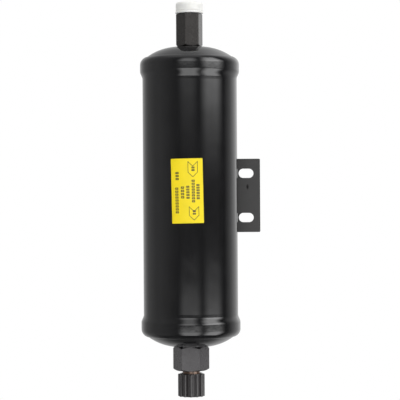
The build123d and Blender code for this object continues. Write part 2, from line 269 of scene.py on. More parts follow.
def select_where(piece, test, kind="VERT"):
    """In edit mode, selects the vertices, edges or faces whose middle passes the test."""
    bpy.ops.mesh.select_mode(type=kind)
    select("DESELECT")
    mesh = bmesh.from_edit_mesh(piece.data)
    for element in {"VERT": mesh.verts, "EDGE": mesh.edges, "FACE": mesh.faces}[kind]:
        corners = [element] if kind == "VERT" else element.verts[:]
        if test(sum((corner.co for corner in corners), Vector()) / len(corners)):
            element.select_set(True)
    mesh.select_flush_mode()
    bmesh.update_edit_mesh(piece.data)


def modify(piece, kind, **settings):
    """Adds a modifier to the piece and applies it."""
    pick(piece)
    modifier = piece.modifiers.new(kind.title(), kind)
    for name, value in settings.items():
        setattr(modifier, name, value)
    bpy.ops.object.modifier_apply(modifier=modifier.name)


def cut(piece, *tools, operation="DIFFERENCE"):
    """Cuts, joins or trims the piece with each tool, removes the tools, and closes what that leaves open."""
    for tool in tools:
        modify(piece, "BOOLEAN", object=tool, operation=operation, solver="EXACT")
        bpy.data.objects.remove(tool)
    with EditMode():
        select()
        bpy.ops.mesh.remove_doubles(threshold=MERGE)
        bpy.ops.mesh.dissolve_degenerate(threshold=MERGE)
        select()
        bpy.ops.mesh.fill_holes(sides=0)
        select()
        bpy.ops.mesh.normals_make_consistent(inside=False)


def heal():
    """In edit mode, merges doubled vertices and turns the normals outwards."""
    select()
    bpy.ops.mesh.remove_doubles(threshold=MERGE)
    bpy.ops.mesh.normals_make_consistent(inside=False)


def join(*pieces):
    """Joins the pieces into the last one."""
    pick(*pieces)
    bpy.ops.object.join()
    return bpy.context.object


def smooth(piece, angle):
    """Shades the piece smooth except across edges sharper than the angle, with its large faces kept flat."""
    pick(piece)
    bpy.ops.object.shade_smooth_by_angle(angle=radians(angle))
    modify(piece, "WEIGHTED_NORMAL", keep_sharp=True, weight=100)


def finish_piece(piece, name, material, body, slot, *nodes, angle=None):
    """Names the piece, gives it its material and body, lets it stand for CAD nodes, and
    shades it smooth if an angle is given. Its slot is not used."""
    if angle:
        smooth(piece, angle)
    piece.name = name
    piece.data.name = name
    piece.data.materials.clear()
    piece.data.materials.append(material)
    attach(piece, body)
    if nodes:
        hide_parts(*nodes)
    pick()


# Outlines, as lists of (radius, height) points


def spread(start, end, count):
    """Evenly spaced values from a start to an end."""
    return [start + (end - start) * i / count for i in range(count + 1)]


def arc(centre, radius, start, end, count):
    """Points of an arc from one angle to another, in radians from the outward radius."""
    return [(centre[0] + radius * cos(a), centre[1] + radius * sin(a)) for a in spread(start, end, count)]


def easing(start, end, count):
    """Points of an S-shaped step between two straight walls that run along the axis."""
    return [
        (start[0] + (end[0] - start[0]) * (1 - cos(pi * t)) / 2, start[1] + (end[1] - start[1]) * t)
        for t in spread(0, 1, count)
    ]


def broken(before, corner, after, size, count=3):
    """Points that round a corner of an outline by about a size."""
    corner = Vector(corner)
    sides = [Vector(point) - corner for point in (before, after)]
    first, last = [corner + side.normalized() * min(size, side.length / 2) for side in sides]
    return [
        tuple(first * (1 - t) ** 2 + corner * 2 * t * (1 - t) + last * t**2) for t in spread(0, 1, count)
    ]


def rounded(outline, size, closed=True):
    """An outline with every sharp corner rounded by about a size."""
    points = []
    for i, corner in enumerate(outline):
        before, after = outline[i - 1], outline[(i + 1) % len(outline)]
        a, b = Vector(before) - Vector(corner), Vector(after) - Vector(corner)
        at_end = not closed and i in (0, len(outline) - 1)
        flat = at_end or a.length == 0 or b.length == 0 or abs(a.angle(b) - pi) < radians(25)
        points += [corner] if flat else broken(before, corner, after, size)
    return points


def bulge(start, end, radius, count):
    """Points of the arc of a radius that bulges outwards from one point to another."""
    a, b = Vector(start), Vector(end)
    chord = b - a
    depth = sqrt(radius**2 - (chord.length / 2) ** 2)
    centre = (a + b) / 2 + Vector((chord.y, -chord.x)).normalized() * depth
    first, last = a - centre, b - centre
    return arc(centre, radius, atan2(first.y, first.x), atan2(last.y, last.x), count)


def lip_centre(sizes):
    """The centre of a rolled lip's curve, with its height counted from the lip."""
    return (RIM_RADIUS - sizes.lip_roll, -sizes.lip_roll * cos(sizes.lip_angle))


def level(side, height):
    """The height in the frame of a height above the lip at the inlet, 1, or the outlet, -1."""
    return LIP_HEIGHT[side] + side * height


def lifted(side, outline):
    """An outline whose heights above a lip become heights in the frame."""
    return [(radius, level(side, height)) for radius, height in outline]


# Making meshes


def turned(outline, steps):
    """A piece turned about the drier's axis. A closed outline makes a ring, and one that starts and ends on
    the axis makes a solid."""
    solid = outline[0][0] == 0
    rings = outline[1:-1] if solid else outline
    radius, height = rings[0]
    pick()
    bpy.ops.mesh.primitive_circle_add(vertices=steps, radius=radius, location=(CENTRE_X, CENTRE_Y, height))
    piece = settle()
    with EditMode():
        bpy.ops.mesh.select_mode(type="EDGE")
        select()
        if solid:
            close_pole(outline[0][1] - height)
            select_where(piece, lambda p: hypot(p.x - CENTRE_X, p.y - CENTRE_Y) > rings[0][0] / 2)
            bpy.ops.mesh.select_mode(type="EDGE")
        for next_radius, next_height in rings[1:] if solid else rings[1:] + rings[:1]:
            lift = (0, 0, next_height - height)
            bpy.ops.mesh.extrude_region_move(TRANSFORM_OT_translate={"value": lift})
            ratio = next_radius / radius
            middle = (CENTRE_X, CENTRE_Y, next_height)
            bpy.ops.transform.resize(value=(ratio, ratio, 1), center_override=middle)
            radius, height = next_radius, next_height
        if solid:
            close_pole(outline[-1][1] - height)
        heal()
    return piece


def close_pole(lift):
    """Closes the selected ring with a fan that meets on the axis."""
    bpy.ops.mesh.extrude_region_move(TRANSFORM_OT_translate={"value": (0, 0, lift)})
    bpy.ops.mesh.merge(type="CENTER")


def turned_end(side, outline, sizes):
    """A piece turned at one end of the drier, from heights above that end's lip."""
    return turned(lifted(side, outline), sizes.steps)


def hexagon_body(side, start, length, flats, turn, sizes):
    """A hexagonal bar with both ends turned to a chamfer, as a bar trimmed by a turned blank."""
    corner = flats / sqrt(3)
    face = sizes.hex_face * flats / 2
    drop = (corner - face) * tan(sizes.hex_chamfer)
    low, high = sorted((level(side, start), level(side, start + length)))
    middle, depth = (low + high) / 2, high - low + 2 * sizes.edge_round
    pick()
    # a primitive's first corner lies on +Y, and the turn is counted from a corner on +X, seen from the end
    bpy.ops.mesh.primitive_cylinder_add(
        vertices=6, radius=flats / 2 / cos(pi / 6), depth=depth, location=(CENTRE_X, CENTRE_Y, middle),
        rotation=(0, 0, side * turn + radians(30)),
    )
    bar = settle()
    with EditMode():
        select_where(bar, lambda p: abs(p.z - middle) < depth / 4, "EDGE")
        bpy.ops.mesh.bevel(offset=1.5 * sizes.edge_round, segments=4, profile=0.5, affect="EDGES")
    outline = [(0, start), (face, start), (corner, start + drop), (corner, start + length - drop)]
    outline += [(face, start + length), (0, start + length)]
    blank = turned_end(side, rounded(outline, sizes.edge_round, closed=False), sizes)
    cut(bar, blank, operation="INTERSECT")
    return bar


def shape_face(piece, points):
    """Moves the corners of the active piece's one face to these points."""
    with EditMode():
        mesh = bmesh.from_edit_mesh(piece.data)
        for vertex, point in zip(mesh.faces[:][0].verts[:], points):
            vertex.co = point
        mesh.normal_update()
        bmesh.update_edit_mesh(piece.data)


def thread_ridge(base, crest, low, turns, pitch):
    """A right-hand helical ridge of V section from its base radius to its crest, with both ends closed."""
    flat, foot = pitch / 16, pitch * 0.49  # half the crest's width, and half the base's
    pick()
    bpy.ops.mesh.primitive_plane_add(size=1, location=(CENTRE_X, CENTRE_Y, low))
    piece = bpy.context.object
    shape_face(piece, [(base, 0, -foot), (crest, 0, -flat), (crest, 0, flat), (base, 0, foot)])
    with EditMode():
        select()
        bpy.ops.mesh.delete(type="ONLY_FACE")
    facets = {"steps": 72, "render_steps": 72}
    modify(piece, "SCREW", axis="Z", angle=2 * pi, screw_offset=pitch, iterations=turns, **facets)
    piece = settle()
    with EditMode():
        select()
        bpy.ops.mesh.remove_doubles(threshold=MERGE)
        select("DESELECT")
        bpy.ops.mesh.select_non_manifold()
        bpy.ops.mesh.edge_face_add()
        heal()
    return piece


# Materials


def feed(tree, node, inputs):
    """Gives a node its inputs, each a value or the socket that feeds it."""
    for name, value in inputs.items():
        if isinstance(value, bpy.types.NodeSocket):
            tree.links.new(value, node.inputs[name])
        else:
            node.inputs[name].default_value = value


def add_node(tree, kind, inputs=None, **settings):
    """A node with its settings and its inputs."""
    node = tree.nodes.new(kind)
    for name, value in settings.items():
        setattr(node, name, value)
    feed(tree, node, inputs or {})
    return node


def opaque(colour):
    """A colour with full alpha."""
    return (*colour, 1.0)


def shades(tree, factor, *stops):
    """A colour ramp over a factor, from (place, colour) stops."""
    ramp = add_node(tree, "ShaderNodeValToRGB", {"Fac": factor})
    elements = ramp.color_ramp.elements
    while len(elements) < len(stops):
        elements.new(1.0)
    for element, (place, colour) in zip(elements, stops):
        element.position = place
        element.color = opaque(colour)
    return ramp.outputs["Color"]


def grey(value):
    """A neutral linear colour."""
    return (value, value, value)


def scaled(colour, factor):
    """A colour made lighter or darker."""
    return tuple(min(1.0, c * factor) for c in colour)


def new_material(name):
    """An empty node material, with its tree, its Principled shader and its Object coordinates."""
    material = bpy.data.materials.new(name)
    material.use_nodes = True
    tree = material.node_tree
    place = add_node(tree, "ShaderNodeTexCoord").outputs["Object"]
    return material, tree, tree.nodes["Principled BSDF"], place


def texture(tree, kind, place, millimetres, output, inputs=None, **settings):
    """A texture of about this size in millimetres."""
    inputs = {"Vector": place, "Scale": 1000 / millimetres} | (inputs or {})
    return add_node(tree, "ShaderNodeTex" + kind, inputs, **settings).outputs[output]


def noise(tree, place, millimetres, detail=2.0, roughness=0.5):
    """Noise of about this size in millimetres."""
    return texture(tree, "Noise", place, millimetres, "Fac", {"Detail": detail, "Roughness": roughness})


def between(tree, factor, low, high, start=0.0, end=1.0, ease="LINEAR"):
    """A factor spread over a new range."""
    settings = {"Value": factor, "From Min": start, "From Max": end, "To Min": low, "To Max": high}
    return add_node(tree, "ShaderNodeMapRange", settings, interpolation_type=ease).outputs["Result"]


def calculate(tree, operation, *values):
    """A sum on one or two values, each a number or a socket."""
    return add_node(tree, "ShaderNodeMath", dict(enumerate(values)), operation=operation).outputs["Value"]


def mixed(tree, factor, first, second, kind="FLOAT"):
    """Two values or two colours mixed by a factor."""
    slot = 2 if kind == "FLOAT" else 6
    mix = add_node(tree, "ShaderNodeMix", {"Factor": factor, slot: first, slot + 1: second}, data_type=kind)
    return mix.outputs[0 if kind == "FLOAT" else 2]


def bumped(tree, height, millimetres, below=None):
    """A normal from a height map whose full swing is this many millimetres."""
    settings = {"Height": height, "Strength": 1.0, "Distance": millimetres / 1000}
    if below is not None:
        settings["Normal"] = below
    return add_node(tree, "ShaderNodeBump", settings).outputs["Normal"]


def toned(tree, pattern, low, high, *roughness):
    """The colour and the roughness that a pattern gives, between two (place, colour) stops and two ends."""
    return {"Base Color": shades(tree, pattern, low, high), "Roughness": between(tree, pattern, *roughness)}


def height_of(tree, place):
    """The height of a place."""
    return add_node(tree, "ShaderNodeSeparateXYZ", {"Vector": place}).outputs["Z"]


def distance_of(tree, place):
    """How far a place is from the origin."""
    return add_node(tree, "ShaderNodeVectorMath", {0: place}, operation="LENGTH").outputs["Value"]


RIM_REACH, RIM_FADE = 0.0165, 0.003  # how far from a lip a rim's paint is uneven, and where that fades


def rim_mask(tree, place):
    """A factor that is 1 on both rolled rims, and 0 in the middle of the shell."""
    middle = (LIP_HEIGHT[1] + LIP_HEIGHT[-1]) / 2
    away = calculate(tree, "ABSOLUTE", calculate(tree, "SUBTRACT", height_of(tree, place), middle))
    edge = (LIP_HEIGHT[1] - LIP_HEIGHT[-1]) / 2 - RIM_REACH
    return between(tree, away, 0.0, 1.0, edge - RIM_FADE, edge)


STAIN_PLACE = (0.0474, 0.0072)  # across from the shell's axis, and up
STAIN_HALF = (0.0013, 0.0030)  # half its width and half its height


def stain_mask(tree, place):
    """A factor that is 1 in a small oil stain between the bracket's slots, and 0 elsewhere."""
    width, height = STAIN_HALF
    settings = {
        "Vector": place,
        "Scale": (1 / width, 0, 1 / height),
        "Location": (-(CENTRE_X + STAIN_PLACE[0]) / width, 0, -STAIN_PLACE[1] / height),
    }
    from_middle = add_node(tree, "ShaderNodeMapping", settings).outputs["Vector"]
    return between(tree, distance_of(tree, from_middle), 1.0, 0.0, 0.3, 1.0, "SMOOTHSTEP")


def stoving_paint(name, colour, roughness, peel, dust=0.5):
    """Black stoving enamel sprayed on drawn steel: a glassy skin with a little orange peel, a slow waviness
    from the drawing under it, a livelier one on the rolled rims, a few grains of dust, and a small dull stain
    of oil between the bracket's slots."""
    material, tree, shader, place = new_material(name)
    soft = noise(tree, place, 14, detail=3)
    body = shades(tree, soft, (0.3, scaled(colour, 0.86)), (0.7, scaled(colour, 1.15)))
    grains = texture(tree, "Voronoi", place, 36, "Distance")
    speck = between(tree, grains, dust, 0.0, start=0.005, end=0.009)
    streaks = noise(tree, place, 6, detail=4, roughness=0.6)
    wave = bumped(tree, noise(tree, place, 22, detail=1), 0.06)
    uneven = calculate(tree, "MULTIPLY", noise(tree, place, 7), rim_mask(tree, place))
    rolled = bumped(tree, uneven, 0.07, below=wave)
    feed(tree, shader, {
        "Base Color": mixed(tree, speck, body, opaque(grey(0.3)), "RGBA"),
        "Specular IOR Level": between(tree, stain_mask(tree, place), 0.5, 0.04),
        "Roughness": between(tree, streaks, roughness * 0.8, roughness * 1.25),
        "Normal": bumped(tree, noise(tree, place, 1.1), peel, below=rolled),
        "IOR": 1.5,
    })
    return material


def vinyl_film(name, colour):
    """Yellow vinyl label film: a flat bright colour with a weak satin gloss and a faint cloudiness."""
    material, tree, shader, place = new_material(name)
    clouds = noise(tree, place, 9, detail=3)
    tones = toned(tree, clouds, (0.3, scaled(colour, 0.96)), (0.7, scaled(colour, 1.03)), 0.38, 0.5)
    feed(tree, shader, tones | {"IOR": 1.5, "Normal": bumped(tree, noise(tree, place, 0.6), 0.006)})
    return material


def printing_ink(name, colour):
    """Black printing ink on the film: dull, a little thin where the blanket pressed lightly."""
    material, tree, shader, place = new_material(name)
    thin = noise(tree, place, 1.2, detail=3)
    feed(tree, shader, toned(tree, thin, (0.35, colour), (0.75, scaled(colour, 2.2)), 0.45, 0.65))
    return material


def polyethylene(name, colour, depth_mm, roughness, sink):
    """Injection-moulded polyethylene: waxy and a little see-through at thin edges, with soft sink marks."""
    material, tree, shader, place = new_material(name)
    dark, light = (0.3, scaled(colour, 0.97)), (0.7, scaled(colour, 1.02))
    tones = toned(tree, noise(tree, place, 5), dark, light, roughness * 0.9, roughness * 1.15)
    sunk = bumped(tree, noise(tree, place, 4, detail=1), sink)
    eroded = bumped(tree, noise(tree, place, 0.35), 0.004, below=sunk)
    feed(tree, shader, tones | {"IOR": 1.5, "Normal": eroded})
    if depth_mm:
        radius = (1.0, 0.95, 0.85)
        depth = {"Subsurface Weight": 0.35, "Subsurface Radius": radius, "Subsurface Scale": depth_mm / 1000}
        feed(tree, shader, depth)
    return material


def turned_steel(name, colour, plating):
    """Turned free-cutting steel: fine rings left by the tool across the axis, with a warm plating flash."""
    material, tree, shader, place = new_material(name)
    tones = toned(tree, noise(tree, place, 4, detail=3), (0.35, colour), (0.7, plating), 0.3, 0.42)
    bands = {"wave_type": "BANDS", "bands_direction": "Z"}
    rings = texture(tree, "Wave", place, 7, "Fac", {"Distortion": 0.3}, **bands)
    feed(tree, shader, tones | {"Metallic": 1.0, "Normal": bumped(tree, rings, 0.006)})
    return material


def pressed_steel(name, colour):
    """Cold-rolled strip and spring wire: dull grey steel with faint rolling scratches."""
    material, tree, shader, place = new_material(name)
    stretched = add_node(tree, "ShaderNodeMapping", {"Vector": place, "Scale": (1.0, 12.0, 12.0)})
    scratches = noise(tree, stretched.outputs["Vector"], 4, detail=4)
    tones = toned(tree, scratches, (0.3, scaled(colour, 0.8)), (0.7, colour), 0.35, 0.5)
    feed(tree, shader, tones | {"Metallic": 1.0, "Normal": bumped(tree, scratches, 0.01)})
    return material


def woven_wire(name, colour, mesh_mm):
    """Woven wire gauze: two crossed sets of wires, with painted shade in the gaps between them."""
    material, tree, shader, place = new_material(name)
    warp, weft = [texture(tree, "Wave", place, 20 * mesh_mm, "Fac", bands_direction=way) for way in "XY"]
    crossed = calculate(tree, "MAXIMUM", warp, weft)
    # between the wires the colour falls to a tenth of the wire's: painted shade in the gaps
    tones = toned(tree, crossed, (0.4, scaled(colour, 0.1)), (0.75, colour), 0.6, 0.35)
    feed(tree, shader, tones | {"Metallic": 1.0, "Normal": bumped(tree, crossed, 0.1)})
    return material


def wool_felt(name, colour):
    """Pressed wool felt: matted fibres a few hundredths thick, drawn coarser so that they show."""
    material, tree, shader, place = new_material(name)
    fibres = noise(tree, place, 0.8, detail=8, roughness=0.7)
    body = shades(tree, fibres, (0.3, scaled(colour, 0.75)), (0.7, colour))
    sheen = {"Roughness": 0.95, "Sheen Weight": 0.3}
    feed(tree, shader, sheen | {"Base Color": body, "Normal": bumped(tree, fibres, 0.3)})
    return material


def bead_bed(name, colour, bead_mm):
    """Loose desiccant beads packed in a bed: round chalky grains, with painted shade darkening the gaps
    between them.
    """
    material, tree, shader, place = new_material(name)
    cells = texture(tree, "Voronoi", place, bead_mm, "Distance")
    # the colour falls to a fifth towards each bead's edge: painted shade in the crevices between beads
    tones = toned(tree, cells, (0.35, colour), (0.75, scaled(colour, 0.2)), 0.75, 0.95)
    feed(tree, shader, tones | {"Normal": bumped(tree, between(tree, cells, 1.0, 0.0, end=0.8), 0.8)})
    return material


def nitrile(name, colour):
    """Moulded nitrile rubber: matt black with a faint bloom."""
    material, tree, shader, place = new_material(name)
    bloom = noise(tree, place, 3, detail=4)
    feed(tree, shader, toned(tree, bloom, (0.4, colour), (0.8, scaled(colour, 2.0)), 0.6, 0.8))
    return material


def the_material(name, make, *arguments, **options):
    """The material of that name, made on first use."""
    return bpy.data.materials.get(name) or make(name, *arguments, **options)


def gloss_paint(context):
    """The gloss paint of the shell and the end caps."""
    finish = context.scene.drier_finish
    look = (finish.paint, finish.paint_roughness)
    return the_material("stoving_paint_gloss", stoving_paint, *look, peel=0.0025)


def satin_paint(place, colour, roughness=0.27):
    """The duller paint of a machined fitting or of the bracket, whose tool marks show through."""
    look = {"peel": 0.012, "dust": 0.2}
    return the_material(f"stoving_paint_satin_{place}", stoving_paint, colour, roughness, **look)


# Operators, one for each piece or group of like pieces


class DRIER_OT_shell(bpy.types.Operator):
    """Turns the drawn shell with its two rolled lips"""

    bl_idname = "drier.add_shell"
    bl_label = "Shell"

    def execute(self, context):
        sizes = context.scene.drier_sizes
        end = self.end_outline(sizes)
        shell = turned(lifted(1, end) + lifted(-1, end[::-1]), sizes.steps)
        paint = gloss_paint(context)
        finish_piece(shell, "shell_drawn", paint, "drier", "black_paint", "shell_tube", angle=40)
        return {"FINISHED"}

    def end_outline(self, sizes):
        """The outline of one end, from the tube's outside over the lip to the tube's inside."""
        tube = RIM_RADIUS - sizes.shell_wall
        roll = lip_centre(sizes)
        sweep = pi / 2 - sizes.lip_angle
        outside = arc(roll, sizes.lip_roll, 0, sweep, 14)
        inside = arc(roll, sizes.lip_roll - sizes.shell_wall, sweep, sweep, 1)[0]
        bell = sizes.swage - sizes.rim_band
        return [
            *easing((tube, -sizes.rim_band), (RIM_RADIUS, bell), 12),
            *outside[:-1],
            *broken(outside[-2], outside[-1], inside, sizes.edge_round),
            inside,
            (tube, roll[1]),
            (tube, bell),
            (tube - sizes.shell_wall, -sizes.rim_band),
        ]


class DRIER_OT_end_caps(bpy.types.Operator):
    """Turns the two domed end caps and the braze fillet round the inlet's neck"""

    bl_idname = "drier.add_end_caps"
    bl_label = "End caps"

    def execute(self, context):
        sizes = context.scene.drier_sizes
        paint = gloss_paint(context)
        for name, side, spigot in (("inlet", 1, sizes.inlet_spigot), ("outlet", -1, sizes.outlet_spigot)):
            cap = turned_end(side, self.outline(sizes, spigot / 2 + sizes.seat_gap), sizes)
            finish_piece(cap, f"{name}_dome", paint, "drier", "black_paint", f"{name}_end_cap", angle=40)
        land, leg, neck = sizes.dome_rise, sizes.braze_leg, sizes.inlet_neck / 2
        rise = sizes.inlet_neck_length * sizes.braze_rise
        ring = [(neck + leg * (1 - sin(t)), land + rise * (1 - cos(t))) for t in spread(0, pi / 2, 8)]
        ring += [(neck - sizes.seat_gap, land + rise), (neck - sizes.seat_gap, land)]
        finish_piece(turned_end(1, ring, sizes), "inlet_braze", paint, "drier", "black_paint", angle=50)
        return {"FINISHED"}

    def outline(self, sizes, hole):
        """The outline of an end cap: land, dome, joggle under the lip, shoulder, skirt and back inside."""
        roll = lip_centre(sizes)
        up = pi / 2 - sizes.lip_angle

        def lip_point(radius):
            x = roll[0] + radius * cos(up) - sizes.seat_gap * sin(up)
            return (x, roll[1] + radius * sin(up) + sizes.seat_gap * cos(up))

        foot = lip_point(sizes.lip_roll - sizes.crease_depth)
        joggle = lip_point(sizes.lip_roll - sizes.shell_wall - sizes.seat_gap)
        edge = (sizes.land_radius, sizes.dome_rise)
        skirt = RIM_RADIUS - sizes.shell_wall - sizes.seat_gap
        inner = skirt - sizes.cap_wall
        end = sizes.swage - sizes.rim_band
        under = sizes.dome_rise - sizes.cap_wall
        dome = bulge(edge, foot, sizes.dome_radius, 20)
        inner_foot = (roll[0], foot[1] - sizes.cap_wall / 2)
        lower = bulge((sizes.land_radius, under), inner_foot, sizes.dome_radius, 8)
        return [
            (hole, sizes.dome_rise),
            *broken((hole, sizes.dome_rise), edge, dome[1], sizes.land_round, 4),
            *dome[1:-1],
            *broken(dome[-2], foot, joggle, sizes.edge_round),
            joggle,
            (skirt, roll[1]),
            (skirt, end),
            (inner, end),
            (inner, roll[1]),
            *reversed(lower),
            (hole, under),
        ]


class DRIER_OT_inlet_fitting(bpy.types.Operator):
    """Makes the inlet hexagon with its neck, spigot and tapped port"""

    bl_idname = "drier.add_inlet_fitting"
    bl_label = "Inlet fitting"

    def execute(self, context):
        sizes = context.scene.drier_sizes
        start = sizes.dome_rise + sizes.inlet_neck_length
        end = start + sizes.inlet_hex_length
        body = hexagon_body(1, start, sizes.inlet_hex_length, sizes.inlet_flats, sizes.inlet_turn, sizes)
        inside = sizes.dome_rise - sizes.cap_wall - sizes.spigot_stand
        neck, spigot = sizes.inlet_neck / 2, sizes.inlet_spigot / 2
        stem = [(0, inside), (spigot, inside), (spigot, sizes.dome_rise), (neck, sizes.dome_rise)]
        stem += [(neck, start + sizes.edge_round * 3), (0, start + sizes.edge_round * 3)]
        cut(body, turned_end(1, stem, sizes), operation="UNION")
        cut(body, self.port(sizes, inside, end), self.thread(sizes, end))
        paint = satin_paint("inlet", context.scene.drier_finish.inlet_paint)
        finish_piece(body, "inlet_hexagon", paint, "drier", "black_paint", "inlet_fitting", angle=30)
        return {"FINISHED"}

    def port(self, sizes, inside, end):
        """The solid of the port's hollow: passage, seat and tapped bore, open at both ends."""
        passage, tap = sizes.passage / 2, sizes.tap_diameter / 2
        floor = end - sizes.port_depth
        chamfer = (sizes.thread_diameter - sizes.tap_diameter) / 2 + sizes.edge_round
        past = 5 * sizes.edge_round
        outline = [(0, inside - past), (passage, inside - past), (passage, floor - (tap - passage))]
        outline += [(tap, floor), (tap, end - chamfer), (tap + chamfer + past, end + past), (0, end + past)]
        return turned_end(1, outline, sizes)

    def thread(self, sizes, end):
        """The helical groove of the tapped thread."""
        turns = int((sizes.port_depth - 3 * sizes.thread_pitch) / sizes.thread_pitch)
        low = level(1, end - sizes.thread_pitch * (turns - 0.5))
        base = sizes.tap_diameter / 2 - sizes.edge_round / 2
        return thread_ridge(base, sizes.thread_diameter / 2, low, turns, sizes.thread_pitch)


class DRIER_OT_outlet_fitting(bpy.types.Operator):
    """Makes the outlet hexagon and its bare flare thread"""

    bl_idname = "drier.add_outlet_fitting"
    bl_label = "Outlet fitting"

    def execute(self, context):
        sizes = context.scene.drier_sizes
        finish = context.scene.drier_finish
        start = sizes.dome_rise
        end = start + sizes.outlet_hex_length
        inside = start - sizes.cap_wall - sizes.spigot_stand
        overlap = sizes.edge_round * 3
        body = hexagon_body(-1, start, sizes.outlet_hex_length, sizes.outlet_flats, sizes.outlet_turn, sizes)
        stem = self.bar(sizes, sizes.outlet_spigot / 2, inside, start + overlap)
        cut(body, stem, operation="UNION")
        cut(body, self.bar(sizes, sizes.passage / 2, inside - overlap, end + overlap))
        # the outlet hexagon's lighter paint is partly painted light
        paint = satin_paint("outlet", finish.outlet_paint_lit)
        finish_piece(body, "outlet_hexagon", paint, "drier", "black_paint", "outlet_fitting", angle=30)
        steel = the_material("turned_steel_flashed", turned_steel, finish.stub, finish.copper_tint)
        finish_piece(self.stub(sizes, end), "outlet_thread", steel, "drier", "bare_steel", angle=30)
        return {"FINISHED"}

    def bar(self, sizes, radius, start, end):
        """A plain round bar between two heights above the lip."""
        return turned_end(-1, [(0, start), (radius, start), (radius, end), (0, end)], sizes)

    def stub(self, sizes, end):
        """The threaded stub with its relief groove and flare nose, bored through."""
        bore, relief, nose = sizes.passage / 2, sizes.relief_diameter / 2, sizes.nose_tip / 2
        crest, pitch = sizes.thread_diameter / 2, sizes.thread_pitch
        root = crest - 0.61 * pitch
        first = end + sizes.relief_length
        last = first + sizes.thread_length
        tip = last + sizes.nose_length
        outline = [(bore, end), (relief, end), (relief, first - pitch / 2), (root, first), (root, last)]
        outline += [(root, tip - (root - nose)), (nose, tip), (bore, tip)]
        stub = turned_end(-1, rounded(outline, sizes.edge_round), sizes)
        turns = int(sizes.thread_length / pitch)
        ridge = thread_ridge(root - sizes.edge_round / 2, crest, level(-1, last - pitch / 2), turns, pitch)
        lead = crest - root
        limits = [(0, first - lead), (root - lead / 4, first - lead), (crest, first), (crest, last - lead)]
        limits += [(root - lead / 4, last), (0, last)]
        cut(ridge, turned_end(-1, limits, sizes), operation="INTERSECT")
        cut(stub, ridge, operation="UNION")
        return stub


class DRIER_OT_bracket(bpy.types.Operator):
    """Bends the bracket's strap round the shell and punches its two slots"""

    bl_idname = "drier.add_bracket"
    bl_label = "Bracket"

    def execute(self, context):
        sizes = context.scene.drier_bracket
        finish = context.scene.drier_finish
        strap = self.strap(sizes)
        for side in (1, -1):
            cut(strap, self.slot(sizes, side * sizes.slot_spacing / 2))
        sharp = {"limit_method": "ANGLE", "angle_limit": radians(50)}
        modify(strap, "BEVEL", width=sizes.edge_round, segments=3, **sharp)
        paint = satin_paint("bracket", finish.bracket_paint, finish.bracket_roughness)
        finish_piece(strap, "bracket_strap", paint, "drier", "black_paint", "mounting_bracket", angle=30)
        return {"FINISHED"}

    def strap(self, sizes):
        """The flange as a bar, with its end face spun round the shell's axis as a saddle."""
        low, high = BRACKET_LOW, BRACKET_HIGH
        reach, height = high.x - CENTRE_X, high.z - low.z
        middle = (CENTRE_X + reach / 2, high.y - sizes.thickness / 2, (high.z + low.z) / 2)
        corner_x, corner_z = high.x - sizes.corner, height / 2 - sizes.corner
        pick()
        bpy.ops.mesh.primitive_cube_add(size=1, location=middle, scale=(reach, sizes.thickness, height))
        piece = settle()
        with EditMode():
            select_where(piece, lambda p: p.x > corner_x and abs(p.z - middle[2]) > corner_z, "EDGE")
            bpy.ops.mesh.bevel(offset=sizes.corner, segments=6, affect="EDGES")
            select_where(piece, lambda p: p.x < CENTRE_X + MERGE, "FACE")
            bpy.ops.mesh.spin(
                steps=40, angle=-sizes.saddle_angle, center=(CENTRE_X, CENTRE_Y, 0), axis=(0, 0, 1)
            )
            select("DESELECT")
            bpy.ops.mesh.select_interior_faces()
            bpy.ops.mesh.delete(type="FACE")
            heal()
        return piece

    def slot(self, sizes, height):
        """The solid that a slot's punch takes out, a round bar drawn out level."""
        radius = sizes.slot_width / 2
        stretch = sizes.slot_length / 2 - radius
        place = (CENTRE_X + sizes.slot_reach, BRACKET_HIGH.y - sizes.thickness / 2, height)
        pick()
        bpy.ops.mesh.primitive_cylinder_add(
            vertices=64, radius=radius, depth=4 * sizes.thickness, location=place, rotation=(pi / 2, 0, 0)
        )
        piece = settle()
        with EditMode():
            for sign in (1, -1):
                select_where(piece, lambda p: sign * (p.x - place[0]) > MERGE)
                bpy.ops.transform.translate(value=(sign * stretch, 0, 0))
        return piece


# Print on the label, in millimetres from its middle: columns of blocks that run down the label, each given by
# its place across the label, where it starts and ends, and its count of blocks
PRINT_COLUMNS = (
    (8.5, 5.5, -7.0, 6),
    (4.8, 9.0, -9.4, 8),
    (0.5, 4.3, -6.5, 5),
    (-3.7, 3.9, -6.2, 4),
    (-7.7, 15.4, 8.3, 3),
    (-8.2, 3.1, -17.8, 9),
    (4.9, 19.2, 15.2, 2),
    (5.2, -15.0, -19.0, 2),
)
BLOCK_WIDTH = 2.4
BLOCK_SHARE = 0.68  # how much of its column's pitch a block fills
PRINT_ARROWS = ((4.7, 23.4, 10.7), (5.0, -12.1, -23.3))  # place across, tail and tip
ARROW_WIDTH, ARROW_POINT = 7.9, 3.8
FILM_FACETS = 720  # round the whole shell
FILM_CUTS = 24  # sides that the film is trimmed along, which also round its corners


